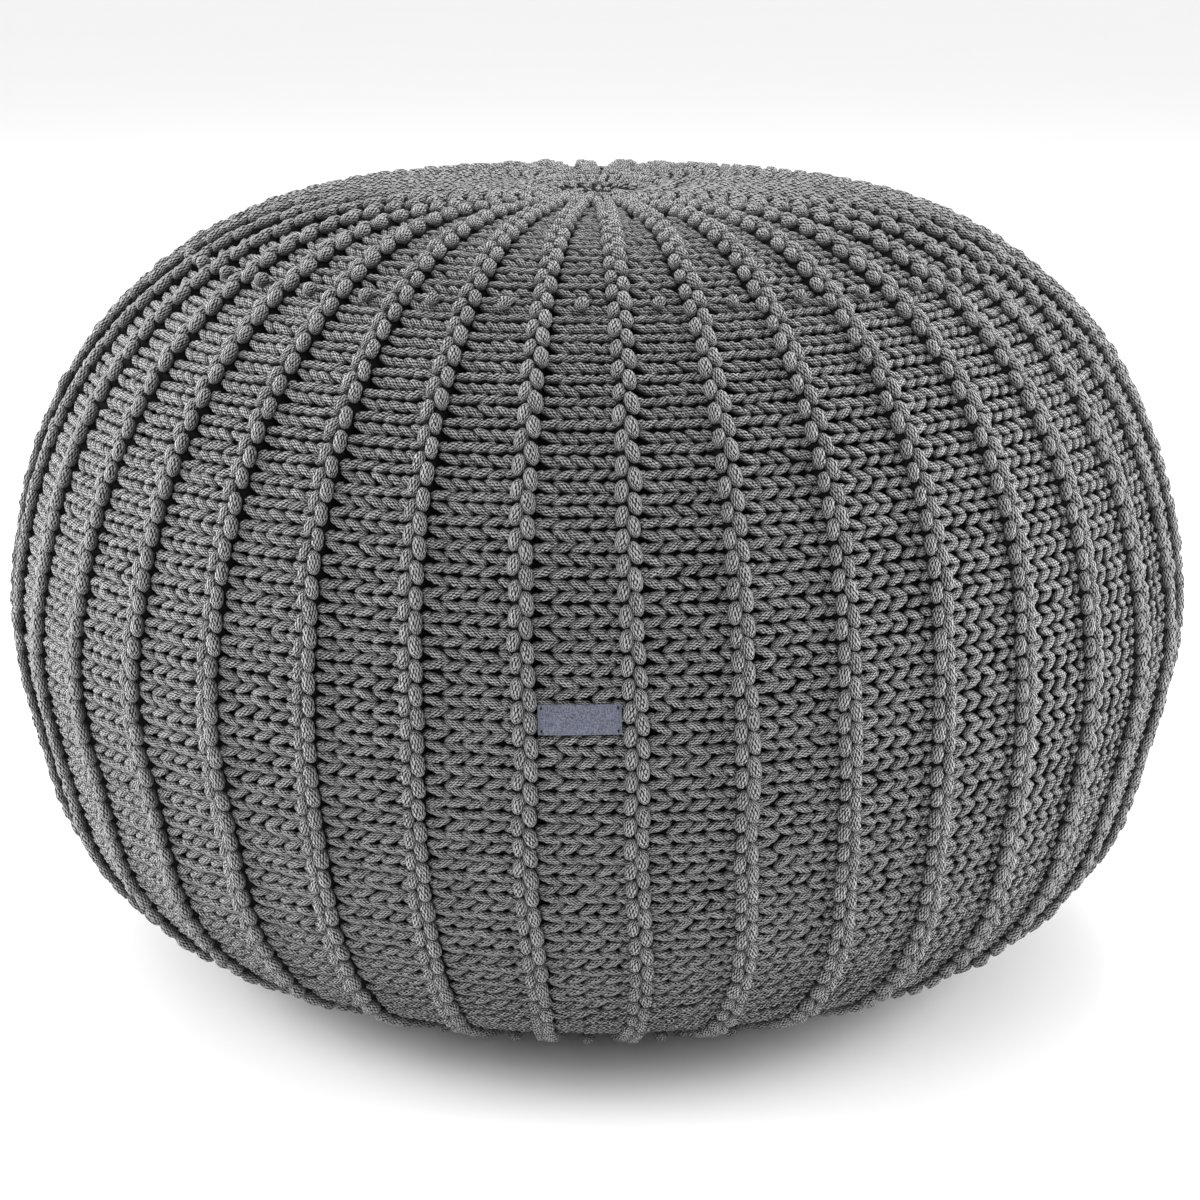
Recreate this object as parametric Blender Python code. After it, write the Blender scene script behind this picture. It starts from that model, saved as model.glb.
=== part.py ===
"""Knitted pouf, 60 cm across and 40 cm high, with a small blank label sewn to its front.

The cover is a tube of thick cotton cord, knitted sideways, drawn in at both poles and filled firmly,
so the cover and its filling are one solid. Purl ribs run from pole to pole between plain panels.
Metres, +Z up, front towards -Y, origin on the floor under the middle.
"""

import math
from collections import namedtuple

import bmesh
import bpy
from mathutils import Vector

MM = 0.001

# The cover's outline on the plain panels, from the floor up to the top pole, in millimetres.
Section = namedtuple("Section", "place radius height")
SECTIONS = (
    Section("edge of the resting spot", 150.0, 0.0),
    Section("underside, inner", 169.0, 5.0),
    Section("underside, outer", 201.0, 16.0),
    Section("lower turn", 239.5, 35.0),
    Section("lower flank", 270.0, 73.0),
    Section("flank", 285.0, 120.0),
    Section("widest line", 295.0, 173.0),
    Section("upper flank", 291.0, 221.5),
    Section("shoulder, lower", 277.0, 270.5),
    Section("shoulder", 251.0, 315.0),
    Section("shoulder, upper", 214.0, 349.5),
    Section("crown edge", 171.0, 373.0),
    Section("crown", 127.0, 383.5),
    Section("crown, inner", 84.0, 386.5),
    Section("rim of the sunken pole", 40.0, 387.5),
    Section("pole", 0.0, 383.5),
)
STEPS_PER_SECTION = 12
NEAR = 0.004  # share of the outline over which its direction is measured

# Ribs: where they stand, how far they stray, and what one looks like in section.
RIB_COUNT = 38
FIRST_RIB = math.radians(2.63)
TWIST = math.radians(0.55)  # how much further round a rib has run at the floor than at the pole
WANDER = math.radians(0.1)  # each rib's own slow waves
WANDER_STEP = 30 * math.tau / RIB_COUNT  # how far the waves shift from one rib to the next
WANDER_WAVES = 12.0  # how far they turn from the floor to the pole, in radians
# Where the ribs bunch: how far they drift, how many times round the pouf, and from which bearing;
# and the share of the outline it happens at.
Bunch = namedtuple("Bunch", "place drift lobes bearing share spread")
BUNCHES = (
    Bunch("belly", math.radians(0.78), 4, math.radians(-9.7), 0.386, 0.07),
    Bunch("drawn-in side", math.radians(1.37), 2, math.radians(17.6), 0.2, 0.1),
)
RibPoint = namedtuple("RibPoint", "place across lift")
RIB_POINTS = (
    RibPoint("left foot", -5.4, 0.0),
    RibPoint("left crest", -3.4, 4.2),
    RibPoint("right crest", 3.0, 5.0),
    RibPoint("valley beside the rib", 5.1, -1.5),
    RibPoint("edge of the panel", 8.0, 0.0),
)
NARROWING = 0.12  # a rib narrows with this power of the pouf's radius
LEAST_REPEAT = 14.5 * MM  # a rib fills the whole repeat where the repeat is this narrow
RIB_FADE = 0.06  # share of the outline over which a rib rises from the resting spot
SPANS = 23  # rings of faces between the resting spot and the pole

# Label, sewn into the channel between two front ribs.
LABEL_WIDTH = 35.5 * MM
LABEL_HEIGHT = 13.0 * MM
LABEL_THICKNESS = 1.2 * MM
LABEL_BEARING = math.radians(-1.36)
LABEL_SHARE = 0.406
LABEL_TILT = math.radians(1.0)
LABEL_COLUMNS = 12
LABEL_ROWS = 4
CLEARANCE = 0.3 * MM

WELD = 0.001 * MM  # points nearer than this are one

CORNER = math.radians(50)  # edges sharper than this are shaded sharp

CORD_GREY = (0.150, 0.150, 0.150, 1.0)
LABEL_GREY = (0.262, 0.283, 0.342, 1.0)


def through_sections(before, start, end, after, part):
    """Point a part of the way from start to end on a smooth curve through all four."""
    slope = end - before
    bend = 2 * before - 5 * start + 4 * end - after
    turn = 3 * start - before - 3 * end + after
    return 0.5 * (2 * start + slope * part + bend * part**2 + turn * part**3)


def smooth_outline():
    """Closely spaced points (radius, height) on the outline, and the length up to each."""
    knots = [Vector((row.radius, row.height)) * MM for row in SECTIONS]
    under = 2 * knots[0] - knots[1]
    beyond = Vector((-knots[-2].x, knots[-2].y))
    knots = [under, *knots, beyond]
    points = [knots[1]]
    for index in range(1, len(knots) - 2):
        for step in range(1, STEPS_PER_SECTION + 1):
            part = step / STEPS_PER_SECTION
            points.append(through_sections(*knots[index - 1 : index + 3], part))
    lengths = [0.0]
    for first, second in zip(points, points[1:]):
        lengths.append(lengths[-1] + (second - first).length)
    return points, lengths


OUTLINE, LENGTHS = smooth_outline()


def outline_at(share):
    """Point on the outline at a share of its length, 0 at the floor and 1 at the pole."""
    target = min(max(share, 0.0), 1.0) * LENGTHS[-1]
    for index in range(1, len(OUTLINE)):
        if LENGTHS[index] >= target:
            break
    part = (target - LENGTHS[index - 1]) / (LENGTHS[index] - LENGTHS[index - 1])
    point = OUTLINE[index - 1].lerp(OUTLINE[index], part)
    return Vector((max(point.x, 0.0), point.y))


def outward_at(share):
    """Direction (outwards, upwards) square to the outline."""
    along = outline_at(share + NEAR) - outline_at(share - NEAR)
    return Vector((along.y, -along.x)).normalized()


def cover_point(bearing, share, lift):
    """Point over the cover: bearing from the front, share of the outline, lift off the panels."""
    radius, height = outline_at(share) + outward_at(share) * lift
    return Vector((radius * math.sin(bearing), -radius * math.cos(bearing), max(height, 0.0)))


def rib_bearing(rib, share):
    """Bearing of a rib's centre line."""
    bearing = FIRST_RIB + rib * math.tau / RIB_COUNT
    drift = 0.0
    for bunch in BUNCHES:
        nearness = math.exp(-(((share - bunch.share) / bunch.spread) ** 2))
        drift += bunch.drift * nearness * math.cos(bunch.lobes * (bearing - bunch.bearing))
    waves = math.sin(WANDER_STEP * rib + WANDER_WAVES * share)
    wander = WANDER * math.sin(math.pi * share) * waves
    return bearing + TWIST * (1 - share) ** 2 + drift + wander


def rib_size(share):
    """Size of a rib's section, as a share of its size at the widest line."""
    radius = outline_at(share).x
    widest = max(row.radius for row in SECTIONS) * MM
    repeat = math.tau * radius / RIB_COUNT
    return min(1.0, (radius / widest) ** NARROWING, repeat / LEAST_REPEAT)


def rib_rise(share):
    """How far a rib stands up, as a share of its full lift: nothing where it rests on the floor."""
    part = min(share / RIB_FADE, 1.0)
    return rib_size(share) * part * part * (3 - 2 * part)


def new_material(name, colour, roughness):
    material = bpy.data.materials.new(name)
    material.use_nodes = True
    shader = material.node_tree.nodes["Principled BSDF"]
    shader.inputs["Base Color"].default_value = colour
    shader.inputs["Roughness"].default_value = roughness
    shader.inputs["Metallic"].default_value = 0.0
    material.diffuse_color = colour
    return material


def new_object(name, mesh_tool, material):
    mesh = bpy.data.meshes.new(name)
    mesh_tool.to_mesh(mesh)
    mesh_tool.free()
    mesh.materials.append(material)
    mesh.shade_smooth()
    mesh.set_sharp_from_angle(angle=CORNER)
    piece = bpy.data.objects.new(name, mesh)
    bpy.context.scene.collection.objects.link(piece)
    return piece


def flat_grid(columns, rows):
    """A grid of faces, with each point's column and row read from where it lies."""
    mesh_tool = bmesh.new()
    bmesh.ops.create_grid(mesh_tool, x_segments=columns, y_segments=rows, size=0.5)
    places = [
        (point, round((point.co.x + 0.5) * columns), round((point.co.y + 0.5) * rows))
        for point in mesh_tool.verts
    ]
    return mesh_tool, places


def ribbed_point(column, share):
    """Point on the ribbed cover where a column of points crosses a ring."""
    rib, place = divmod(column, len(RIB_POINTS))
    rib %= RIB_COUNT
    radius = max(outline_at(share).x, MM)
    across = RIB_POINTS[place].across * MM * rib_size(share)
    lift = RIB_POINTS[place].lift * MM * rib_rise(share)
    return cover_point(rib_bearing(rib, share) + across / radius, share, lift)


def build_pouf():
    """The filled cover: a grid wrapped round the outline, its first row gathered under the middle."""
    mesh_tool, places = flat_grid(RIB_COUNT * len(RIB_POINTS), SPANS + 1)
    for point, column, row in places:
        if row == 0:
            point.co = (0.0, 0.0, 0.0)
        elif row == SPANS + 1:
            point.co = cover_point(0.0, 1.0, 0.0)
        else:
            point.co = ribbed_point(column, (row - 1) / SPANS)
    bmesh.ops.remove_doubles(mesh_tool, verts=mesh_tool.verts, dist=WELD)
    bmesh.ops.recalc_face_normals(mesh_tool, faces=mesh_tool.faces)
    return new_object("knitted_pouf", mesh_tool, new_material("cotton_cord", CORD_GREY, 0.9))


def build_label():
    """The label: a plate bent to the panel under it, standing just clear of the cover."""
    mesh_tool, places = flat_grid(LABEL_COLUMNS, LABEL_ROWS)
    radius = outline_at(LABEL_SHARE).x
    for point, column, row in places:
        across = (column / LABEL_COLUMNS - 0.5) * LABEL_WIDTH
        upward = (row / LABEL_ROWS - 0.5) * LABEL_HEIGHT
        turned = across * math.cos(LABEL_TILT) - upward * math.sin(LABEL_TILT)
        raised = upward * math.cos(LABEL_TILT) + across * math.sin(LABEL_TILT)
        share = LABEL_SHARE + raised / LENGTHS[-1]
        point.co = cover_point(LABEL_BEARING + turned / radius, share, CLEARANCE)
    back = list(mesh_tool.faces)
    bmesh.ops.recalc_face_normals(mesh_tool, faces=back)
    if back[0].normal.y > 0:
        bmesh.ops.reverse_faces(mesh_tool, faces=back)
    bmesh.ops.solidify(mesh_tool, geom=back, thickness=-LABEL_THICKNESS)
    bmesh.ops.recalc_face_normals(mesh_tool, faces=mesh_tool.faces)
    return new_object("label", mesh_tool, new_material("felted_label", LABEL_GREY, 0.85))


def main():
    for old in list(bpy.data.objects):
        bpy.data.objects.remove(old, do_unlink=True)
    build_pouf()
    build_label()


main()
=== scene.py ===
"""Knitted pouf, dressed: every stitch of its thick cotton cord over the shaded loops behind them,
and a small blank label sewn between two ribs.

Metres, +Z up, front towards -Y. Distances down the cover are measured from the top pole, over the
shoulder and the belly to the pole underneath, and are called arcs.
"""

import math
import random
from bisect import bisect_right
from collections import namedtuple

import bmesh
import bpy
from mathutils import Euler, Matrix, Vector


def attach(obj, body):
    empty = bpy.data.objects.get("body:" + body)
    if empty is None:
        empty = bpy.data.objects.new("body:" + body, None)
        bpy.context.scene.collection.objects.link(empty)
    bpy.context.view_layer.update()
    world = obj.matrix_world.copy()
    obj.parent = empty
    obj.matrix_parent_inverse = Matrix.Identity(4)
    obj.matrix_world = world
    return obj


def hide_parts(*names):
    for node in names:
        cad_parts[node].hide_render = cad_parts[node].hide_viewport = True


bl_info = {
    "name": "Knitted pouf",
    "version": (1, 0, 0),
    "blender": (4, 5, 0),
    "location": "3D View > Sidebar > Pouf",
    "description": "Lays the cord stitches of a knitted pouf over its packed solid",
    "category": "Add Mesh",
}

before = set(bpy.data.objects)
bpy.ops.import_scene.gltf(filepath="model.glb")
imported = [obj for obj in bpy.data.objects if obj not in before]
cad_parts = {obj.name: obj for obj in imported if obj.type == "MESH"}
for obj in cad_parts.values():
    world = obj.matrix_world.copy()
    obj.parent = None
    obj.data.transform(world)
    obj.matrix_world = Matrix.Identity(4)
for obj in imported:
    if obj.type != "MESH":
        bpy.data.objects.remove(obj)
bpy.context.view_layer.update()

MM = 0.001


# ---------------------------------------------------------------------------------------------
# The cover's form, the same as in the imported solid
# ---------------------------------------------------------------------------------------------

# The outline on the plain panels, from the floor up to the top pole, in millimetres.
Section = namedtuple("Section", "place radius height")
SECTIONS = (
    Section("edge of the resting spot", 150.0, 0.0),
    Section("underside, inner", 169.0, 5.0),
    Section("underside, outer", 201.0, 16.0),
    Section("lower turn", 239.5, 35.0),
    Section("lower flank", 270.0, 73.0),
    Section("flank", 285.0, 120.0),
    Section("widest line", 295.0, 173.0),
    Section("upper flank", 291.0, 221.5),
    Section("shoulder, lower", 277.0, 270.5),
    Section("shoulder", 251.0, 315.0),
    Section("shoulder, upper", 214.0, 349.5),
    Section("crown edge", 171.0, 373.0),
    Section("crown", 127.0, 383.5),
    Section("crown, inner", 84.0, 386.5),
    Section("rim of the sunken pole", 40.0, 387.5),
    Section("pole", 0.0, 383.5),
)
STEPS_PER_SECTION = 12
NEAR = 1.5 * MM  # distance over which the outline's direction is measured

RIB_COUNT = 38
FIRST_RIB = math.radians(2.63)
TWIST = math.radians(0.55)  # how much further round a rib has run at the floor than at the pole
WANDER = math.radians(0.1)  # each rib's own slow waves
WANDER_STEP = 30 * math.tau / RIB_COUNT  # how far the waves shift from one rib to the next
WANDER_WAVES = 12.0  # how far they turn from the floor to the pole, in radians
# Where the ribs bunch: how far they drift, how many times round the pouf, and from which bearing;
# and the share of the outline it happens at, 0 at the floor and 1 at the pole.
Bunch = namedtuple("Bunch", "place drift lobes bearing share spread")
BUNCHES = (
    Bunch("belly", math.radians(0.78), 4, math.radians(-9.7), 0.386, 0.07),
    Bunch("drawn-in side", math.radians(1.37), 2, math.radians(17.6), 0.2, 0.1),
)
NARROWING = 0.12  # a rib narrows with this power of the pouf's radius
LEAST_REPEAT = 14.5 * MM  # a rib fills the whole repeat where the repeat is this narrow
RIB_FADE = 0.06  # share of the outline over which a rib rises from the resting spot
RIB_EDGE = 5.5 * MM  # half the width of a rib, where the panels start


def through_sections(before, start, end, after, part):
    """Point a part of the way from start to end on a smooth curve through all four."""
    slope = end - before
    bend = 2 * before - 5 * start + 4 * end - after
    turn = 3 * start - before - 3 * end + after
    return 0.5 * (2 * start + slope * part + bend * part**2 + turn * part**3)


def smooth_outline():
    """Closely spaced points (radius, height) from the top pole to the floor, and their arcs."""
    knots = [Vector((row.radius, row.height)) * MM for row in SECTIONS]
    under = 2 * knots[0] - knots[1]
    beyond = Vector((-knots[-2].x, knots[-2].y))
    knots = [under, *knots, beyond]
    points = [knots[1]]
    for index in range(1, len(knots) - 2):
        for step in range(1, STEPS_PER_SECTION + 1):
            part = step / STEPS_PER_SECTION
            points.append(through_sections(*knots[index - 1 : index + 3], part))
    points.reverse()
    arcs = [0.0]
    for first, second in zip(points, points[1:]):
        arcs.append(arcs[-1] + (second - first).length)
    return points, arcs


OUTLINE, ARCS = smooth_outline()
FLOOR_ARC = ARCS[-1]
FLOOR_RADIUS = SECTIONS[0].radius * MM
LAST_ARC = FLOOR_ARC + FLOOR_RADIUS
WIDEST = max(row.radius for row in SECTIONS) * MM


def outline_at(arc):
    """Point (radius, height) of the plain panels; past the floor's edge it runs in to the axis."""
    if arc >= FLOOR_ARC:
        return Vector((max(LAST_ARC - arc, 0.0), 0.0))
    index = max(bisect_right(ARCS, arc), 1)
    part = (arc - ARCS[index - 1]) / (ARCS[index] - ARCS[index - 1])
    point = OUTLINE[index - 1].lerp(OUTLINE[index], max(part, 0.0))
    return Vector((max(point.x, 0.0), point.y))


def outward_at(arc):
    """Direction (outwards, upwards) square to the outline."""
    along = outline_at(arc - NEAR) - outline_at(arc + NEAR)
    return Vector((along.y, -along.x)).normalized()


def round_point(bearing, radius, height):
    """Point at a bearing from the front, a radius and a height."""
    return Vector((radius * math.sin(bearing), -radius * math.cos(bearing), height))


def cover_point(bearing, arc, lift):
    """Point over the cover: bearing from the front, arc from the top pole, lift off the panels."""
    radius, height = outline_at(arc) + outward_at(arc) * lift
    return round_point(bearing, radius, max(height, 0.0))


def outward(bearing, arc):
    """Direction straight out of the cover."""
    return round_point(bearing, *outward_at(arc))


def rib_bearing(rib, arc):
    """Bearing of a rib's centre line."""
    share = 1 - arc / FLOOR_ARC
    bearing = FIRST_RIB + rib * math.tau / RIB_COUNT
    drift = 0.0
    for bunch in BUNCHES:
        nearness = math.exp(-(((share - bunch.share) / bunch.spread) ** 2))
        drift += bunch.drift * nearness * math.cos(bunch.lobes * (bearing - bunch.bearing))
    waves = math.sin(WANDER_STEP * rib + WANDER_WAVES * share)
    wander = WANDER * math.sin(math.pi * share) * waves
    return bearing + TWIST * (1 - share) ** 2 + drift + wander


def repeat_at(arc):
    """Distance from one rib to the next."""
    return math.tau * outline_at(arc).x / RIB_COUNT


def rib_size(arc):
    """Size of a rib's section, as a share of its size at the widest line."""
    radius = outline_at(arc).x
    return min(1.0, (radius / WIDEST) ** NARROWING, repeat_at(arc) / LEAST_REPEAT)


def rib_rise(arc):
    """How far a rib stands up, as a share of its full lift: 0 where it rests on the floor."""
    part = min(max((FLOOR_ARC - arc) / FLOOR_ARC / RIB_FADE, 0.0), 1.0)
    return part * part * (3 - 2 * part)


# ---------------------------------------------------------------------------------------------
# The knit: where its courses, panels and ribs put each stitch
# ---------------------------------------------------------------------------------------------

# Where some of the courses lie, counted and measured from the top pole: they close up over the
# belly.
CourseKnot = namedtuple("CourseKnot", "course arc")
COURSE_KNOTS = (
    CourseKnot(0, 6.0),
    CourseKnot(6, 52.0),
    CourseKnot(13, 134.9),
    CourseKnot(17, 182.2),
    CourseKnot(22, 240.0),
    CourseKnot(27, 298.2),
    CourseKnot(33, 361.6),
    CourseKnot(39, 421.9),
    CourseKnot(43, 464.0),
    CourseKnot(47, 504.5),
    CourseKnot(51, 545.8),
    CourseKnot(62, 677.0),
    CourseKnot(70, 768.0),
    CourseKnot(76, 815.0),
)
TURN_ARC = 208.0 * MM  # short rows turn here: three stitches across a panel above, five below
LOWER_TURN_ARC = 615.0 * MM  # and here, under the belly, back to three

# The V stitches across a panel. The upper leg of each V runs down to the right and the lower one
# up to the right; each starts on top of the leg before and dips under the next. Where a leg
# starts, as a share of the panel, how far it reaches and how deep it lies, in millimetres.
Leg = namedtuple("Leg", "start reach sink")
Panel = namedtuple("Panel", "width upper lower")
WIDE_PANEL = Panel(
    37.0,
    (
        Leg(-0.035, 12.4, 0.1),
        Leg(0.20, 11.8, 0.2),
        Leg(0.41, 12.6, 0.0),
        Leg(0.645, 12.0, 0.0),
        Leg(0.87, 9.0, -0.2),
    ),
    (
        Leg(-0.035, 12.6, 0.1),
        Leg(0.20, 12.6, 0.2),
        Leg(0.44, 11.8, 0.0),
        Leg(0.66, 12.0, 0.0),
        Leg(0.90, 8.5, 0.0),
    ),
)
NARROW_PANEL = Panel(
    24.0,
    (Leg(-0.05, 11.4, 0.1), Leg(0.3, 10.8, 0.0), Leg(0.64, 9.8, -0.2)),
    (Leg(-0.05, 11.8, 0.1), Leg(0.32, 10.8, 0.0), Leg(0.68, 9.4, 0.0)),
)
SLIT_PANEL = Panel(7.0, (Leg(-0.1, 7.5, 0.8),), (Leg(-0.1, 7.5, 0.8),))
LEG_RISE = 0.238  # how far the middle of a leg is from the middle of its V, in pitches
LEG_SLANT = 0.19  # how much further its tip is, and how much nearer its end
USUAL_REACH = 13.0 * MM  # the reach at which a leg slants that much
TIP_LIFT = -1.0 * MM  # lift of the cord's middle at the left tip
END_LIFT = -2.8 * MM  # and at the right end
LEAST_PANEL = 1.0 * MM  # a narrower panel shows no legs
LEAST_PAIR_OF_LEGS = 8.0 * MM  # and one narrower than this is a slit with a single V
LEG_WIDTH = 4.65 * MM
LEG_DEPTH = 4.6 * MM

# The two rows of purl bumps that make a rib.
Bump = namedtuple("Bump", "name across lift lean width height depth shift")
BUMPS = (
    Bump("right", 2.6, 2.0, -1.6, 6.2, 10.4, 6.6, 0.0),
    Bump("left", -2.2, 1.6, 1.2, 6.0, 9.7, 6.2, 0.5),
)
LEAST_BUMPS = 11.0 * MM  # the two rows fill the whole repeat where it is this narrow
LEAST_PAIR = 7.0 * MM  # where the repeat is narrower than this, the left row is hidden
LEAST_SINGLE = 4.2 * MM  # and where it is narrower than this, so are some of the ribs
SINGLE_ROOM = 5.4 * MM  # the repeat that a single row fills with bumps of their full width
FULL_RELIEF = 24.0 * MM  # the ribs stand lower where the repeat is narrower than this,
POLE_SINK = 2.2 * MM  # by so much more at the poles
ROUND_BUMP = 0.72  # length of a bump at the poles, as a share of its full length

# The tip of cord that shows deep in the channel on each rib's right.
TUCK_START = 3.8 * MM
TUCK_REACH = 5.2 * MM
TUCK_LIFT = -1.9 * MM
TUCK_WIDTH = 4.0 * MM

# The knob where a short row turns.
KNOB_PLACE = 0.53
KNOB_WIDTH = 6.6 * MM
KNOB_HEIGHT = 7.0 * MM
KNOB_LIFT = 2.4 * MM

# Hand work: how far stitches differ in direction, size and place, at an unevenness of 1.
WOBBLE = math.radians(2.5)
SIZE_SPREAD = 0.03
SLIP = 0.2 * MM
SEED = 38
QUARTERS = ("front", "right", "back", "left")

Course = namedtuple("Course", "arc pitch")
Stitch = namedtuple("Stitch", "middle turn size tint")


def courses():
    """Every course from the top pole to the pole underneath, and its distance to the next."""
    rows = []
    for first, second in zip(COURSE_KNOTS, COURSE_KNOTS[1:]):
        pitch = (second.arc - first.arc) / (second.course - first.course) * MM
        for step in range(second.course - first.course):
            rows.append(Course(first.arc * MM + step * pitch, pitch))
    return rows


def rib_places(quarter):
    """The ribs of a quarter of the pouf; the front quarter is centred on rib 0."""
    start = round((quarter - 0.5) * RIB_COUNT / len(QUARTERS))
    stop = round((quarter + 0.5) * RIB_COUNT / len(QUARTERS))
    return range(start, stop)


def bump_size(arc):
    """Size of the bumps, as a share of their full size: smaller where the repeat is narrow."""
    return min(1.0, repeat_at(arc) / LEAST_BUMPS)


def panel_edges(rib, arc):
    """Bearings of the two edges of the panel on a rib's right, and the panel's width."""
    radius = max(outline_at(arc).x, MM)
    inset = RIB_EDGE * bump_size(arc) / radius
    left = rib_bearing(rib, arc) + inset
    right = rib_bearing(rib + 1, arc) - inset
    return left, right, (right - left) * radius


def new_stitch(start, end, facing, width, depth, chance, unevenness):
    """A stitch that lies from start to end, with the small differences of hand work."""
    along = end - start
    across = facing.cross(along).normalized()
    upward = along.cross(across).normalized()
    turn = Matrix((along.normalized(), across, upward)).transposed().to_quaternion()
    wobble = [chance.gauss(0.0, WOBBLE * unevenness) for _ in range(3)]
    turn = turn @ Euler(wobble).to_quaternion()
    size = Vector((along.length, width, depth))
    size *= 1 + chance.gauss(0.0, SIZE_SPREAD * unevenness)
    slip = Vector([chance.gauss(0.0, SLIP * unevenness) for _ in range(3)])
    return Stitch((start + end) / 2 + slip, turn, size, chance.gauss(0.0, 1.0))


def panel_legs(ribs, chance, unevenness):
    """The V stitches of the panels on these ribs' right: upper legs and lower legs apart."""
    upper, lower = [], []
    for course in courses():
        middle = course.arc + course.pitch / 2
        radius = outline_at(middle).x
        usual = WIDE_PANEL if TURN_ARC < middle < LOWER_TURN_ARC else NARROW_PANEL
        for rib in ribs:
            left, right, width = panel_edges(rib, middle)
            if width < LEAST_PANEL:
                continue
            panel = usual if width > LEAST_PAIR_OF_LEGS else SLIT_PANEL
            for side, table, legs in ((-1, panel.upper, upper), (1, panel.lower, lower)):
                for leg in table:
                    reach = leg.reach * MM * math.sqrt(min(width / MM / panel.width, 1.0))
                    slant = LEG_SLANT * reach / USUAL_REACH
                    start = left + leg.start * (right - left)
                    end = start + reach / radius
                    start_arc = middle + side * (LEG_RISE + slant) * course.pitch
                    end_arc = middle + side * (LEG_RISE - slant) * course.pitch
                    legs.append(
                        new_stitch(
                            cover_point(start, start_arc, TIP_LIFT - leg.sink * MM),
                            cover_point(end, end_arc, END_LIFT - leg.sink * MM),
                            outward((start + end) / 2, middle),
                            LEG_WIDTH,
                            LEG_DEPTH,
                            chance,
                            unevenness,
                        )
                    )
    return upper, lower


def shown_ribs(ribs, arc):
    """The ribs whose bumps show at this arc: all of them but close to a pole."""
    stride = 1
    while stride * repeat_at(arc) < LEAST_SINGLE:
        stride *= 2
    return [rib for rib in ribs if rib % stride == 0], stride * repeat_at(arc)


def rib_bumps(bump, ribs, chance, unevenness):
    """One of the two rows of purl bumps of these ribs."""
    bumps = []
    for course in courses():
        arc = course.arc + bump.shift * course.pitch
        shown, room = shown_ribs(ribs, arc)
        if bump.name == "left" and room < LEAST_PAIR:
            continue
        radius = outline_at(arc).x
        size = min(1.0, room / LEAST_BUMPS) if room > LEAST_PAIR else room / SINGLE_ROOM
        rise = rib_rise(arc)
        relief = min(1.0, repeat_at(arc) / FULL_RELIEF)
        lift = bump.lift * MM * relief * rise
        lift -= (1 - relief) * POLE_SINK + (1 - rise) * bump.depth * MM / 2
        half = bump.height * MM / 2 * (ROUND_BUMP + (1 - ROUND_BUMP) * relief)
        for rib in shown:
            bearing = rib_bearing(rib, arc) + bump.across * MM * bump_size(arc) / radius
            lean = bump.lean * MM * size / radius
            bumps.append(
                new_stitch(
                    cover_point(bearing + lean, arc - half, lift),
                    cover_point(bearing - lean, arc + half, lift),
                    outward(bearing, arc),
                    bump.width * MM * size,
                    bump.depth * MM * size,
                    chance,
                    unevenness,
                )
            )
    return bumps


def turn_knobs(ribs, chance, unevenness):
    """The knobs where the short rows turn, one on each panel at the top and one underneath."""
    knobs = []
    for arc in (TURN_ARC, LOWER_TURN_ARC):
        for rib in ribs:
            left, right, _ = panel_edges(rib, arc)
            bearing = left + KNOB_PLACE * (right - left)
            knobs.append(
                new_stitch(
                    cover_point(bearing, arc - KNOB_HEIGHT / 2, KNOB_LIFT),
                    cover_point(bearing, arc + KNOB_HEIGHT / 2, KNOB_LIFT),
                    outward(bearing, arc),
                    KNOB_WIDTH,
                    KNOB_WIDTH,
                    chance,
                    unevenness,
                )
            )
    return knobs


def tucked_tips(ribs, chance, unevenness):
    """The short tips of cord deep in the channel on each rib's right."""
    tips = []
    for course in courses():
        middle = course.arc + course.pitch / 2
        radius = outline_at(middle).x
        if repeat_at(middle) < LEAST_BUMPS + LEAST_PANEL:
            continue
        slant = LEG_SLANT * TUCK_REACH / USUAL_REACH
        for rib in ribs:
            bearing = rib_bearing(rib, middle)
            start = bearing + TUCK_START / radius
            end = start + TUCK_REACH / radius
            tips.append(
                new_stitch(
                    cover_point(start, middle + (LEG_RISE + slant) * course.pitch, TUCK_LIFT),
                    cover_point(end, middle + (LEG_RISE - slant) * course.pitch, TUCK_LIFT),
                    outward(bearing, middle),
                    TUCK_WIDTH,
                    TUCK_WIDTH,
                    chance,
                    unevenness,
                )
            )
    return tips


# ---------------------------------------------------------------------------------------------
# Making meshes
# ---------------------------------------------------------------------------------------------


def add_node(tree, kind, inputs=None, **settings):
    """Adds a node with its settings. inputs are given by identifier: a value, or what to link."""
    node = tree.nodes.new(kind)
    for name, value in settings.items():
        setattr(node, name, value)
    for name, value in (inputs or {}).items():
        socket = next(entry for entry in node.inputs if entry.identifier == name)
        if isinstance(value, bpy.types.NodeSocket):
            tree.links.new(value, socket)
        else:
            socket.default_value = value
    return node


def new_mesh(name, mesh_tool):
    """The mesh that a bmesh tool holds."""
    mesh = bpy.data.meshes.new(name)
    mesh_tool.to_mesh(mesh)
    mesh_tool.free()
    return mesh


def new_piece(name, mesh, material):
    """A piece of the pouf, with its place in its mesh."""
    mesh.materials.clear()
    mesh.materials.append(material)
    mesh.shade_smooth()
    piece = bpy.data.objects.new(name, mesh)
    bpy.context.scene.collection.objects.link(piece)
    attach(piece, "root")
    return piece


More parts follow.
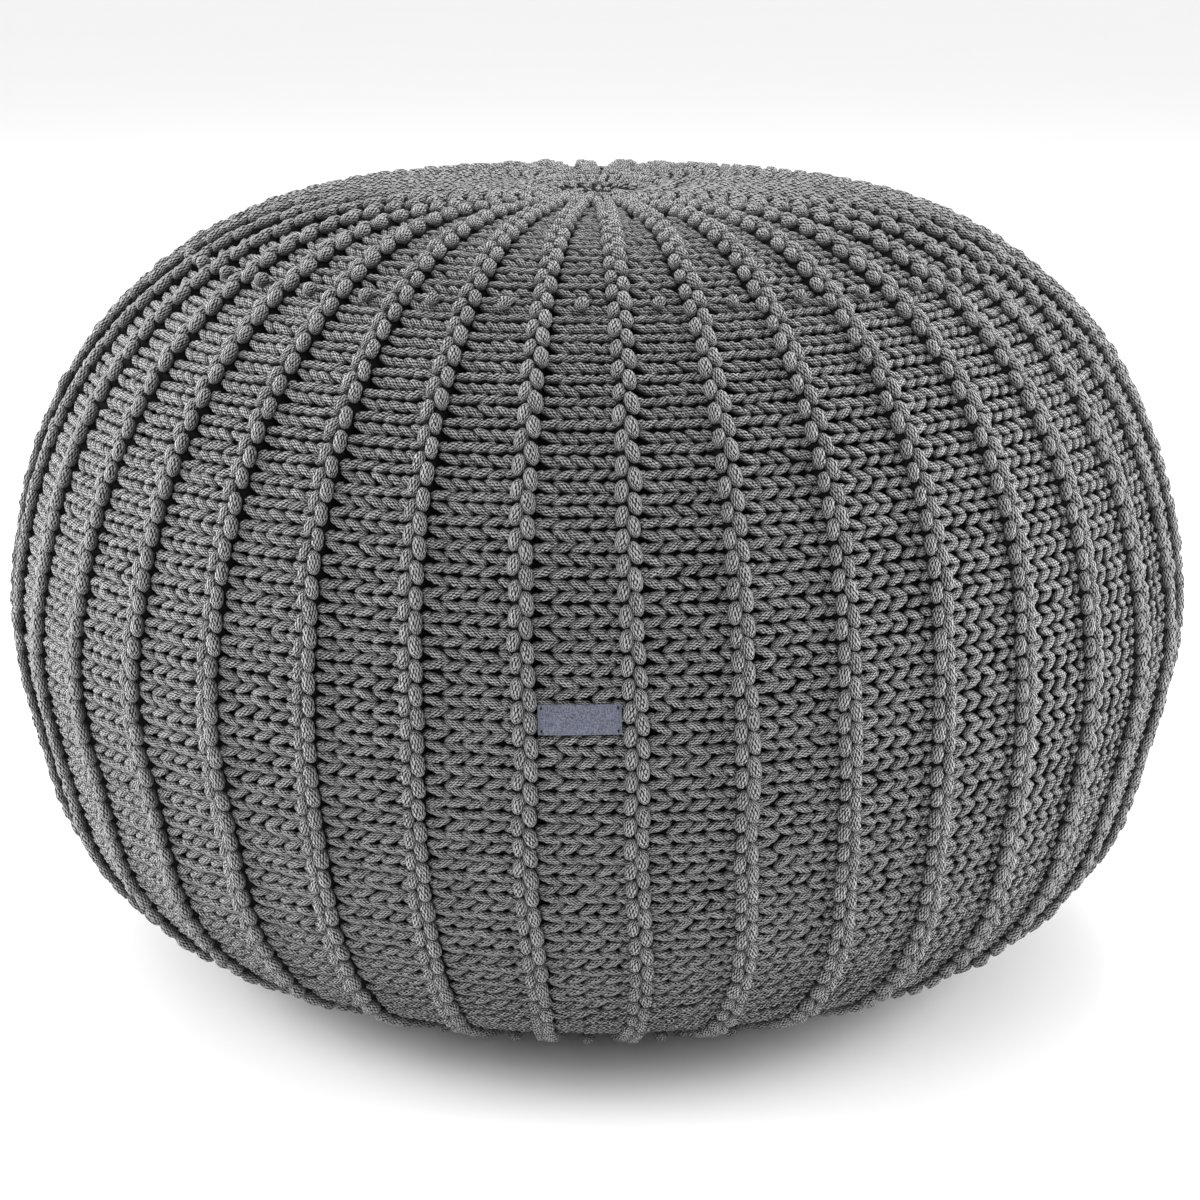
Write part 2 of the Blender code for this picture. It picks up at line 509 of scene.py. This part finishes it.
# Rings of a stitch from its start to its end: how far along, how thick, and how far it sways, in
# shares of the stitch's length, thickness and width.
Ring = namedtuple("Ring", "along girth sway")
LEG_RINGS = (
    Ring(-0.5, 0.0, 0.0),
    Ring(-0.35, 0.74, -0.04),
    Ring(0.0, 1.0, 0.0),
    Ring(0.35, 0.76, 0.04),
    Ring(0.5, 0.0, 0.0),
)
BUMP_RINGS = (
    Ring(-0.5, 0.0, 0.0),
    Ring(-0.42, 0.58, 0.03),
    Ring(-0.20, 1.0, 0.04),
    Ring(0.20, 1.0, -0.04),
    Ring(0.42, 0.58, -0.03),
    Ring(0.5, 0.0, 0.0),
)
LEG_SIDES = 5
BUMP_SIDES = 6
# Painted shade: how far the stitches beside a stitch hide it from the light, painted into the
# cord's colour.
LEG_PAINTED_SHADE = 1.0
BUMP_PAINTED_SHADE = 0.65
NEARLY = 1e-3  # a radius or a distance this small counts as none


def stitch_mesh(name, rings, sides, sway, painted_shade_depth):
    """One stitch, a unit long, wide and deep: a sphere laid along X, with its rings reshaped. Each
    point carries a painted shade for how far its neighbours hide it from the light: 0 on the
    crest, the full painted shade depth underneath."""
    mesh_tool = bmesh.new()
    mesh_tool.loops.layers.uv.new("cord")
    steps = len(rings) - 1
    bmesh.ops.create_uvsphere(
        mesh_tool, u_segments=sides, v_segments=steps, radius=0.5, calc_uvs=True
    )
    lay_down = Matrix.Rotation(math.radians(-90), 4, "Y")
    bmesh.ops.transform(mesh_tool, matrix=lay_down, verts=mesh_tool.verts)
    places = [-0.5 * math.cos(math.pi * step / steps) for step in range(steps + 1)]
    loops = [[v for v in mesh_tool.verts if abs(v.co.x - x) < NEARLY] for x in places]
    for place, loop, ring in zip(places, loops, rings):
        radius = math.sqrt(max(0.25 - place**2, 0.0))
        girth = ring.girth * 0.5 / max(radius, NEARLY)
        bmesh.ops.scale(mesh_tool, vec=(1, girth, girth), verts=loop)
        bmesh.ops.translate(mesh_tool, vec=(ring.along - place, ring.sway * sway, 0), verts=loop)
    bmesh.ops.recalc_face_normals(mesh_tool, faces=mesh_tool.faces)
    mesh = new_mesh(name, mesh_tool)
    # Painted shade: none on the crest, most underneath.
    hidden = [painted_shade_depth * (0.5 - point.co.z) for point in mesh.vertices]
    mesh.attributes.new("hidden", "FLOAT", "POINT").data.foreach_set("value", hidden)
    mesh.shade_smooth()
    return mesh


def stitch_places(stitches):
    """A mesh with a point for each stitch, which carries how it lies, how big it is, the length of
    the way round and along it in millimetres, and how light it is."""
    places = bpy.data.meshes.new("places")
    places.vertices.add(len(stitches))
    places.vertices.foreach_set("co", [x for row in stitches for x in row.middle])
    spans = [(GIRTH_SHARE * row.size.y / MM, row.size.x / MM, 0.0) for row in stitches]
    for name, kind, field, values in (
        ("turn", "QUATERNION", "value", [x for row in stitches for x in row.turn]),
        ("size", "FLOAT_VECTOR", "vector", [x for row in stitches for x in row.size]),
        ("span", "FLOAT_VECTOR", "vector", [x for span in spans for x in span]),
        ("tint", "FLOAT", "value", [row.tint for row in stitches]),
    ):
        places.attributes.new(name, kind, "POINT").data.foreach_set(field, values)
    return places


def lay_stitches(name, groups):
    """One mesh with a copy of its stitch at each place in every group of (stitch, places)."""
    tree = bpy.data.node_groups.new("lay stitches", "GeometryNodeTree")
    tree.interface.new_socket("Geometry", in_out="OUTPUT", socket_type="NodeSocketGeometry")
    joined = add_node(tree, "GeometryNodeJoinGeometry")
    named = "GeometryNodeInputNamedAttribute"
    helpers = []
    for stitch, stitches in groups:
        places = bpy.data.objects.new("places", stitch_places(stitches))
        master = bpy.data.objects.new("stitch", stitch)
        helpers += [places, master]
        at = add_node(tree, "GeometryNodeObjectInfo", {"Object": places})
        what = add_node(tree, "GeometryNodeObjectInfo", {"Object": master})
        turn = add_node(tree, named, {"Name": "turn"}, data_type="QUATERNION")
        size = add_node(tree, named, {"Name": "size"}, data_type="FLOAT_VECTOR")
        laid = add_node(
            tree,
            "GeometryNodeInstanceOnPoints",
            {
                "Points": at.outputs["Geometry"],
                "Instance": what.outputs["Geometry"],
                "Rotation": turn.outputs["Attribute"],
                "Scale": size.outputs["Attribute"],
            },
        )
        real = add_node(
            tree, "GeometryNodeRealizeInstances", {"Geometry": laid.outputs["Instances"]}
        )
        tree.links.new(real.outputs["Geometry"], joined.inputs["Geometry"])
    add_node(tree, "NodeGroupOutput", {"Socket_0": joined.outputs["Geometry"]})
    holder = bpy.data.objects.new(name, bpy.data.meshes.new(name))
    bpy.context.scene.collection.objects.link(holder)
    holder.modifiers.new("lay stitches", "NODES").node_group = tree
    laid = holder.evaluated_get(bpy.context.evaluated_depsgraph_get())
    mesh = bpy.data.meshes.new_from_object(laid)
    for helper in [holder, *helpers]:
        bpy.data.objects.remove(helper)
    bpy.data.node_groups.remove(tree)
    mesh.name = name
    return mesh


# The loops behind the stitches, near black with painted shade: columns of points across one
# repeat, in millimetres.
CorePoint = namedtuple("CorePoint", "place across lift")
CORE_POINTS = (
    CorePoint("left foot of the rib", -5.2, -3.4),
    CorePoint("left side of the rib", -2.6, 1.0),
    CorePoint("right side of the rib", 2.6, 1.4),
    CorePoint("channel", 5.2, -4.6),
    CorePoint("panel", 14.0, -3.6),
)
CORE_ROWS = 46
POLE_GAP = 2 * MM  # nearer a pole than this, the outline's direction isn't firm
RESTING_LIFT = -3.4 * MM  # lift of the ribs' inner loops where the pouf rests on the floor
WELD = 0.001 * MM  # points nearer than this are one


def core_point(column, arc):
    """Point on the inner loops where a column of points crosses a ring."""
    rib, place = divmod(column, len(CORE_POINTS))
    rib %= RIB_COUNT
    size = rib_size(arc)
    across = CORE_POINTS[place].across * MM * size
    lift = CORE_POINTS[place].lift * MM
    if lift > 0:
        rise = rib_rise(arc)
        lift = lift * size * rise + (1 - rise) * RESTING_LIFT
    return cover_point(rib_bearing(rib, arc) + across / max(outline_at(arc).x, MM), arc, lift)


def core_mesh():
    """The inner loops as one closed skin: a grid round the outline, gathered at both poles."""
    columns = RIB_COUNT * len(CORE_POINTS)
    mesh_tool = bmesh.new()
    bmesh.ops.create_grid(mesh_tool, x_segments=columns, y_segments=CORE_ROWS, size=0.5)
    for point in mesh_tool.verts:
        column = round((point.co.x + 0.5) * columns)
        row = round((point.co.y + 0.5) * CORE_ROWS)
        arc = LAST_ARC * row / CORE_ROWS
        point.co = core_point(column, min(max(arc, POLE_GAP), LAST_ARC - POLE_GAP))
        if row in (0, CORE_ROWS):
            point.co.xy = (0.0, 0.0)
    bmesh.ops.remove_doubles(mesh_tool, verts=mesh_tool.verts, dist=WELD)
    bmesh.ops.recalc_face_normals(mesh_tool, faces=mesh_tool.faces)
    return new_mesh("knit_core", mesh_tool)


# The label and the four stitches that hold it.
LABEL_WIDTH = 35.5 * MM
LABEL_HEIGHT = 13.0 * MM
LABEL_THICKNESS = 1.2 * MM
LABEL_BEARING = math.radians(-1.36)
LABEL_SHARE = 0.406  # share of the outline from the floor up to the label
LABEL_ARC = FLOOR_ARC * (1 - LABEL_SHARE)
LABEL_TILT = math.radians(1.0)
LABEL_COLUMNS = 24
LABEL_ROWS = 8
CLEARANCE = 0.3 * MM
CORNER_CUT = 0.5 * MM
RIM_ROUNDING = 0.25 * MM
RIM_ANGLE = math.radians(60)  # edges sharper than this are the rim
THREAD_INSET = 1.6 * MM
THREAD_LENGTH = 1.5 * MM
THREAD_WIDTH = 1.0 * MM


def over_label(across, upward, lift):
    """Point over the label's middle: across and up its face, and out from the cover."""
    turned = across * math.cos(LABEL_TILT) - upward * math.sin(LABEL_TILT)
    raised = upward * math.cos(LABEL_TILT) + across * math.sin(LABEL_TILT)
    radius = outline_at(LABEL_ARC).x
    return cover_point(LABEL_BEARING + turned / radius, LABEL_ARC - raised, lift)


def label_mesh():
    """The label: a plate with its corners and rim rounded, bent to the panel under it."""
    mesh_tool = bmesh.new()
    bmesh.ops.create_grid(
        mesh_tool, x_segments=LABEL_COLUMNS, y_segments=LABEL_ROWS, size=0.5
    )
    bmesh.ops.scale(mesh_tool, vec=(LABEL_WIDTH, LABEL_HEIGHT, 1.0), verts=mesh_tool.verts)
    corners = [vert for vert in mesh_tool.verts if len(vert.link_faces) == 1]
    bmesh.ops.bevel(
        mesh_tool,
        geom=corners,
        offset=CORNER_CUT,
        affect="VERTICES",
        segments=2,
        profile=0.5,
        material=-1,
    )
    bmesh.ops.solidify(mesh_tool, geom=list(mesh_tool.faces), thickness=-LABEL_THICKNESS)
    bmesh.ops.recalc_face_normals(mesh_tool, faces=mesh_tool.faces)
    rim = [edge for edge in mesh_tool.edges if edge.calc_face_angle(0.0) > RIM_ANGLE]
    bmesh.ops.bevel(
        mesh_tool,
        geom=rim,
        offset=RIM_ROUNDING,
        affect="EDGES",
        segments=2,
        profile=0.5,
        material=-1,
    )
    low = min(vert.co.z for vert in mesh_tool.verts)
    for vert in mesh_tool.verts:
        vert.co = over_label(vert.co.x, vert.co.y, CLEARANCE + vert.co.z - low)
    bmesh.ops.recalc_face_normals(mesh_tool, faces=mesh_tool.faces)
    return new_mesh("label", mesh_tool)


def label_threads():
    """The places of the four short stitches at the label's corners."""
    threads = []
    top = CLEARANCE + LABEL_THICKNESS
    for side in (-1, 1):
        for level in (-1, 1):
            across = side * (LABEL_WIDTH / 2 - THREAD_INSET)
            upward = level * (LABEL_HEIGHT / 2 - THREAD_INSET)
            start = over_label(across, upward + THREAD_LENGTH / 2, top)
            end = over_label(across, upward - THREAD_LENGTH / 2, top)
            threads.append(
                new_stitch(
                    start,
                    end,
                    outward(LABEL_BEARING, LABEL_ARC),
                    THREAD_WIDTH,
                    THREAD_WIDTH,
                    random.Random(SEED),
                    0.0,
                )
            )
    return threads


# ---------------------------------------------------------------------------------------------
# Materials
# ---------------------------------------------------------------------------------------------

# Every material is dull: how much it shines, and how wide its sheen spreads.
SHINE = 0.3
SHEEN_SPREAD = 0.5

# The cord, with its measures in millimetres.
GIRTH_SHARE = math.pi  # length of the way round a stitch, as a share of its width
SHEATH_ACROSS = 0.8  # from a hole in the cord's sheath to the next row's, round the cord
SHEATH_ALONG = 1.05  # and along it
SHEATH_DRAG = 0.8  # how far the holes are dragged out of their rows
FUZZ_SIZE = 0.7  # a tuft of the cord's fuzz
FUZZ_SHARE = 2.4  # how much the fuzz adds to the height of the sheath's loops
# The holes are the sheath's own; their near-black colour is painted shade down in them.
HOLE_HEIGHT = 0.76  # the height up to which the sheath is as dark as its holes
LOOP_HEIGHT = 1.7  # and the height from which it is as light as its loops
TINT_SPREAD = 0.05  # how far the stitches differ in lightness
# Painted shade on the cord: its colour darkens from full at OPEN_CREST to LEAST_LIGHT at COVERED.
OPEN_CREST = 0.1  # how hidden a point may be and still get all of the light
COVERED = 0.6  # how hidden it is where it gets the least
LEAST_LIGHT = 0.12
THREAD_RELIEF = 0.05 * MM

# The inner loops: near black with painted shade, and darker still with painted shade in the seams
# between their lumps.
LUMP_SIZE = 5.0 * MM
LUMP_DEPTH = 1.0 * MM
LUMP_SHADE = 0.5  # colour between the lumps, as a share of their colour

# The label's felt.
FIBRE_SIZE = 0.7 * MM
FIBRE_DEPTH = 0.2 * MM
DARK_FIBRE = 0.35  # where in the noise the main colour ends
PALE_FIBRE = 0.65  # and the paler fibres start

# The floor's paint.
CLOUDS_PER_METRE = 3.0
CLOUD_SHADE = 0.985


def linear(code):
    """Linear colour of an sRGB hex value."""
    parts = [int(code[place : place + 2], 16) / 255 for place in (1, 3, 5)]
    return [p / 12.92 if p <= 0.04045 else ((p + 0.055) / 1.055) ** 2.4 for p in parts]


def new_material(name, roughness, sheen):
    """A dull, slightly fuzzy material, its node tree and its shader."""
    material = bpy.data.materials.new(name)
    material.use_nodes = True
    shader = material.node_tree.nodes["Principled BSDF"]
    shader.inputs["Roughness"].default_value = roughness
    shader.inputs["Specular IOR Level"].default_value = SHINE
    shader.inputs["Sheen Weight"].default_value = sheen
    shader.inputs["Sheen Roughness"].default_value = SHEEN_SPREAD
    return material, material.node_tree, shader


def cord_material(name, light, dark, relief):
    """Cotton cord with a fine knitted sheath: dull and slightly fuzzy, with rows of small holes
    between the sheath's loops, set like bricks along the cord and painted near black for the shade
    down in them. Painted shade also darkens the cord down its flanks and underside, where the
    stitches beside it hide it from the light."""
    material, tree, shader = new_material(name, roughness=0.9, sheen=0.1)
    unit = add_node(tree, "ShaderNodeUVMap", uv_map="cord")
    span = add_node(tree, "ShaderNodeAttribute", attribute_name="span")
    tint = add_node(tree, "ShaderNodeAttribute", attribute_name="tint")
    place = add_node(
        tree,
        "ShaderNodeVectorMath",
        {
            "Vector": unit.outputs["UV"],
            "Vector_001": span.outputs["Vector"],
            "Vector_002": tint.outputs["Vector"],
        },
        operation="MULTIPLY_ADD",
    )
    fuzz = add_node(
        tree,
        "ShaderNodeTexNoise",
        {"Vector": place.outputs["Vector"], "Scale": 1 / FUZZ_SIZE, "Detail": 2.0},
    )
    dragged = add_node(
        tree,
        "ShaderNodeVectorMath",
        {
            "Vector": fuzz.outputs["Color"],
            "Vector_001": (SHEATH_DRAG, SHEATH_DRAG, 0.0),
            "Vector_002": place.outputs["Vector"],
        },
        operation="MULTIPLY_ADD",
    )
    parts = add_node(tree, "ShaderNodeSeparateXYZ", {"Vector": dragged.outputs["Vector"]})
    waves = []
    for axis, spacing in (("X", SHEATH_ACROSS), ("Y", SHEATH_ALONG)):
        phase = add_node(
            tree,
            "ShaderNodeMath",
            {"Value": parts.outputs[axis], "Value_001": math.pi / spacing},
            operation="MULTIPLY",
        )
        wave = add_node(
            tree, "ShaderNodeMath", {"Value": phase.outputs["Value"]}, operation="COSINE"
        )
        waves.append(wave.outputs["Value"])
    loops = add_node(
        tree, "ShaderNodeMath", {"Value": waves[0], "Value_001": waves[1]}, operation="MULTIPLY"
    )
    rough = add_node(
        tree,
        "ShaderNodeMath",
        {
            "Value": fuzz.outputs["Fac"],
            "Value_001": FUZZ_SHARE,
            "Value_002": loops.outputs["Value"],
        },
        operation="MULTIPLY_ADD",
    )
    height = add_node(
        tree,
        "ShaderNodeMapRange",
        {
            "Value": rough.outputs["Value"],
            "From Min": HOLE_HEIGHT,
            "From Max": LOOP_HEIGHT,
        },
        interpolation_type="SMOOTHSTEP",
    )
    # Sheath colour: light loops, and holes near black with painted shade.
    colour = add_node(
        tree,
        "ShaderNodeMix",
        {
            "Factor_Float": height.outputs["Result"],
            "A_Color": (*dark, 1.0),
            "B_Color": (*light, 1.0),
        },
        data_type="RGBA",
    )
    share = add_node(
        tree,
        "ShaderNodeMath",
        {"Value": tint.outputs["Fac"], "Value_001": TINT_SPREAD, "Value_002": 1.0},
        operation="MULTIPLY_ADD",
    )
    # Painted shade: the cord darkens down its flanks and underside, where the stitches beside it
    # would shade it.
    hidden = add_node(tree, "ShaderNodeAttribute", attribute_name="hidden")
    lit = add_node(
        tree,
        "ShaderNodeMapRange",
        {
            "Value": hidden.outputs["Fac"],
            "From Min": OPEN_CREST,
            "From Max": COVERED,
            "To Min": 1.0,
            "To Max": LEAST_LIGHT,
        },
        interpolation_type="SMOOTHSTEP",
    )
    strength = add_node(
        tree,
        "ShaderNodeMath",
        {"Value": share.outputs["Value"], "Value_001": lit.outputs["Result"]},
        operation="MULTIPLY",
    )
    tinted = add_node(
        tree,
        "ShaderNodeVectorMath",
        {"Vector": colour.outputs["Result"], "Scale": strength.outputs["Value"]},
        operation="SCALE",
    )
    bump = add_node(
        tree,
        "ShaderNodeBump",
        {"Height": height.outputs["Result"], "Strength": 1.0, "Distance": relief},
    )
    tree.links.new(tinted.outputs["Vector"], shader.inputs["Base Color"])
    tree.links.new(bump.outputs["Normal"], shader.inputs["Normal"])
    return material


def shaded_loops_material(colour):
    """The same cord seen down between the stitches, where hardly any light comes: painted nearly
    black as shade, with the loops' own lumps and painted shade in the seams between them."""
    material, tree, shader = new_material(
        "shaded cotton cord, knitted", roughness=1.0, sheen=0.0
    )
    where = add_node(tree, "ShaderNodeTexCoord")
    lumps = add_node(
        tree,
        "ShaderNodeTexVoronoi",
        {"Vector": where.outputs["Object"], "Scale": 1 / LUMP_SIZE},
    )
    # Painted shade: darker in the seams between the lumps.
    shade = add_node(
        tree,
        "ShaderNodeMix",
        {
            "Factor_Float": lumps.outputs["Distance"],
            "A_Color": (*colour, 1.0),
            "B_Color": (*[LUMP_SHADE * part for part in colour], 1.0),
        },
        data_type="RGBA",
    )
    bump = add_node(
        tree,
        "ShaderNodeBump",
        {"Height": lumps.outputs["Distance"], "Strength": 1.0, "Distance": LUMP_DEPTH},
        invert=True,
    )
    tree.links.new(shade.outputs["Result"], shader.inputs["Base Color"])
    tree.links.new(bump.outputs["Normal"], shader.inputs["Normal"])
    return material


def felt_material(colour, fleck):
    """Pressed wool felt in blue grey: flat and matt, speckled with paler fibres."""
    material, tree, shader = new_material(
        "blue grey wool felt, pressed", roughness=0.95, sheen=0.15
    )
    where = add_node(tree, "ShaderNodeTexCoord")
    fibres = add_node(
        tree,
        "ShaderNodeTexNoise",
        {
            "Vector": where.outputs["Object"],
            "Scale": 1 / FIBRE_SIZE,
            "Detail": 3.0,
            "Roughness": 0.7,
        },
    )
    spread = add_node(
        tree,
        "ShaderNodeMapRange",
        {
            "Value": fibres.outputs["Fac"],
            "From Min": DARK_FIBRE,
            "From Max": PALE_FIBRE,
        },
    )
    shade = add_node(
        tree,
        "ShaderNodeMix",
        {
            "Factor_Float": spread.outputs["Result"],
            "A_Color": (*colour, 1.0),
            "B_Color": (*fleck, 1.0),
        },
        data_type="RGBA",
    )
    bump = add_node(
        tree,
        "ShaderNodeBump",
        {"Height": fibres.outputs["Fac"], "Strength": 0.5, "Distance": FIBRE_DEPTH},
    )
    tree.links.new(shade.outputs["Result"], shader.inputs["Base Color"])
    tree.links.new(bump.outputs["Normal"], shader.inputs["Normal"])
    return material


def floor_material(colour):
    """Matt painted floor, pale, with a faint unevenness from the roller."""
    material, tree, shader = new_material("pale floor paint, rolled", roughness=0.8, sheen=0.0)
    where = add_node(tree, "ShaderNodeTexCoord")
    cloud = add_node(
        tree,
        "ShaderNodeTexNoise",
        {"Vector": where.outputs["Object"], "Scale": CLOUDS_PER_METRE},
    )
    shade = add_node(
        tree,
        "ShaderNodeMix",
        {
            "Factor_Float": cloud.outputs["Fac"],
            "A_Color": (*colour, 1.0),
            "B_Color": (*[CLOUD_SHADE * part for part in colour], 1.0),
        },
        data_type="RGBA",
    )
    tree.links.new(shade.outputs["Result"], shader.inputs["Base Color"])
    return material


# ---------------------------------------------------------------------------------------------
# What a user can change
# ---------------------------------------------------------------------------------------------


class PoufKnit(bpy.types.PropertyGroup):
    """The cord and the knit."""

    unevenness: bpy.props.FloatProperty(
        name="Unevenness", description="How much the stitches differ from each other", default=1.2
    )
    cord_light: bpy.props.FloatVectorProperty(
        name="Cord",
        description="The loops of the cord's sheath",
        subtype="COLOR",
        default=linear("#a2a2a2"),
    )
    # The holes are the sheath's own; their near-black is painted shade down in them.
    cord_dark: bpy.props.FloatVectorProperty(
        name="Holes",
        description="The holes in the sheath",
        subtype="COLOR",
        default=linear("#0c0c0c"),
    )
    # The inner loops are the same grey cord; this near-black is painted shade.
    deep: bpy.props.FloatVectorProperty(
        name="Inner loops",
        description="The cord deep between the stitches",
        subtype="COLOR",
        default=linear("#090909"),
    )
    relief: bpy.props.FloatProperty(
        name="Sheath relief",
        description="Depth of the holes in the cord's sheath",
        default=0.35 * MM,
        unit="LENGTH",
    )


class PoufLabel(bpy.types.PropertyGroup):
    """The blank label."""

    felt: bpy.props.FloatVectorProperty(
        name="Felt",
        description="The felt's main colour",
        subtype="COLOR",
        default=linear("#3c3f49"),
    )
    fleck: bpy.props.FloatVectorProperty(
        name="Flecks",
        description="The felt's paler fibres",
        subtype="COLOR",
        default=linear("#757889"),
    )
    thread: bpy.props.FloatVectorProperty(
        name="Thread",
        description="The corner stitches",
        subtype="COLOR",
        default=linear("#0b0b0e"),
    )


class PoufStage(bpy.types.PropertyGroup):
    """Floor, light and camera."""

    floor: bpy.props.FloatVectorProperty(
        name="Floor", description="The floor's paint", subtype="COLOR", default=linear("#f4f4f4")
    )
    sky: bpy.props.FloatProperty(
        name="Room light", description="Strength of the light from all round", default=1.0
    )


# ---------------------------------------------------------------------------------------------
# Operators
# ---------------------------------------------------------------------------------------------


class POUF_OT_core(bpy.types.Operator):
    """Builds the cord's inner loops as one closed skin in place of the imported body, which show
    dark between the stitches with painted shade
    """

    bl_idname = "pouf.core"
    bl_label = "Inner loops"

    def execute(self, context):
        material = shaded_loops_material(context.scene.pouf_knit.deep)
        core = new_piece("knit_core", core_mesh(), material)
        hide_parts("knitted_pouf")
        return {"FINISHED"}


class POUF_OT_stitches(bpy.types.Operator):
    """Lays the stitches, a quarter at a time: panels of V stitches and the purl ribs between"""

    bl_idname = "pouf.stitches"
    bl_label = "Stitches"

    def execute(self, context):
        knit = context.scene.pouf_knit
        cord = cord_material(
            "grey cotton cord, knitted sheath", knit.cord_light, knit.cord_dark, knit.relief
        )
        upper_leg = stitch_mesh("upper leg", LEG_RINGS, LEG_SIDES, -1, LEG_PAINTED_SHADE)
        lower_leg = stitch_mesh("lower leg", LEG_RINGS, LEG_SIDES, 1, LEG_PAINTED_SHADE)
        right_bump = stitch_mesh("right bump", BUMP_RINGS, BUMP_SIDES, 1, BUMP_PAINTED_SHADE)
        left_bump = stitch_mesh("left bump", BUMP_RINGS, BUMP_SIDES, -1, BUMP_PAINTED_SHADE)
        for quarter, side in enumerate(QUARTERS):
            ribs = rib_places(quarter)
            chance = random.Random(SEED + quarter)
            upper, lower = panel_legs(ribs, chance, knit.unevenness)
            lower += tucked_tips(ribs, chance, knit.unevenness)
            right, left = (rib_bumps(bump, ribs, chance, knit.unevenness) for bump in BUMPS)
            right += turn_knobs(ribs, chance, knit.unevenness)
            panels = lay_stitches(
                f"panel_stitches_{side}", [(upper_leg, upper), (lower_leg, lower)]
            )
            new_piece(f"panel_stitches_{side}", panels, cord)
            rows = lay_stitches(f"rib_stitches_{side}", [(right_bump, right), (left_bump, left)])
            new_piece(f"rib_stitches_{side}", rows, cord)
        return {"FINISHED"}


class POUF_OT_label(bpy.types.Operator):
    """Sews the blank label between two ribs on the front"""

    bl_idname = "pouf.label"
    bl_label = "Label"

    def execute(self, context):
        look = context.scene.pouf_label
        label = new_piece(
            "blank_label", label_mesh(), felt_material(look.felt, look.fleck)
        )
        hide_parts("label")
        thread = cord_material(
            "dark waxed thread, twisted", look.thread, look.thread, THREAD_RELIEF
        )
        stitch = stitch_mesh("thread", BUMP_RINGS, BUMP_SIDES, 0, 0.0)
        threads = lay_stitches("label_threads", [(stitch, label_threads())])
        new_piece("label_threads", threads, thread)
        return {"FINISHED"}


# The stage: a floor wider than any view, and a camera that stands where the photo's stood.
FLOOR_SIZE = 80.0
FLOOR_SQUARES = 8
CAMERA_PLACE = (0.0015, -1.4635, 0.5535)
CAMERA_DIP = math.radians(14.59)
CAMERA_LENS = 86.97

# Soft boxes: where each stands, its width and its power in watts. All of them face the pouf.
Softbox = namedtuple("Softbox", "name place width power")
SOFTBOXES = (
    Softbox("over the front, left", (-1.2, -1.6, 2.2), 1.4, 9.0),
    Softbox("left side", (-2.4, 0.3, 0.8), 1.6, 106.0),
    Softbox("right side", (2.4, 0.3, 0.8), 1.6, 90.0),
    Softbox("above, behind", (0.2, 1.0, 2.6), 1.6, 40.0),
)
AIM = Vector((0.0, 0.0, 0.2))


class POUF_OT_stage(bpy.types.Operator):
    """Sets out the pale floor, the soft boxes and the camera"""

    bl_idname = "pouf.stage"
    bl_label = "Stage"

    def execute(self, context):
        look = context.scene.pouf_stage
        mesh_tool = bmesh.new()
        bmesh.ops.create_grid(
            mesh_tool,
            x_segments=FLOOR_SQUARES,
            y_segments=FLOOR_SQUARES,
            size=FLOOR_SIZE / 2,
        )
        mesh = new_mesh("floor", mesh_tool)
        mesh.materials.append(floor_material(look.floor))
        floor = bpy.data.objects.new("floor", mesh)
        context.scene.collection.objects.link(floor)

        world = bpy.data.worlds.new("white room")
        world.use_nodes = True
        background = world.node_tree.nodes["Background"]
        background.inputs["Color"].default_value = (1.0, 1.0, 1.0, 1.0)
        background.inputs["Strength"].default_value = look.sky
        context.scene.world = world
        context.scene.view_settings.view_transform = "Standard"

        for box in SOFTBOXES:
            light = bpy.data.lights.new(box.name, "AREA")
            light.size = box.width
            light.energy = box.power
            lamp = bpy.data.objects.new(box.name, light)
            lamp.location = box.place
            lamp.rotation_euler = (AIM - Vector(box.place)).to_track_quat("-Z", "Y").to_euler()
            context.scene.collection.objects.link(lamp)

        lens = bpy.data.cameras.new("camera")
        lens.lens = CAMERA_LENS
        camera = bpy.data.objects.new("camera", lens)
        camera.location = CAMERA_PLACE
        camera.rotation_euler = (math.pi / 2 - CAMERA_DIP, 0.0, 0.0)
        context.scene.collection.objects.link(camera)
        context.scene.camera = camera
        return {"FINISHED"}


class POUF_PT_sidebar(bpy.types.Panel):
    """Lists the pouf's sizes, colours and pieces in the 3D view's sidebar"""

    bl_idname = "POUF_PT_sidebar"
    bl_label = "Knitted pouf"
    bl_space_type = "VIEW_3D"
    bl_region_type = "UI"
    bl_category = "Pouf"

    def draw(self, context):
        for group in PROPERTY_GROUPS:
            settings = getattr(context.scene, group)
            box = self.layout.box()
            for name in settings.bl_rna.properties.keys():
                if name not in ("rna_type", "name"):
                    box.prop(settings, name)
        for operator in OPERATORS:
            self.layout.operator(operator.bl_idname)


PROPERTY_GROUPS = {"pouf_knit": PoufKnit, "pouf_label": PoufLabel, "pouf_stage": PoufStage}
OPERATORS = (POUF_OT_core, POUF_OT_stitches, POUF_OT_label, POUF_OT_stage)
CLASSES = (*PROPERTY_GROUPS.values(), *OPERATORS, POUF_PT_sidebar)


def register():
    for entry in CLASSES:
        bpy.utils.register_class(entry)
    for name, group in PROPERTY_GROUPS.items():
        setattr(bpy.types.Scene, name, bpy.props.PointerProperty(type=group))


def unregister():
    for name in PROPERTY_GROUPS:
        delattr(bpy.types.Scene, name)
    for entry in reversed(CLASSES):
        bpy.utils.unregister_class(entry)


def main():
    register()
    bpy.ops.pouf.core()
    bpy.ops.pouf.stitches()
    bpy.ops.pouf.label()
    bpy.ops.pouf.stage()


if __name__ == "__main__":
    main()
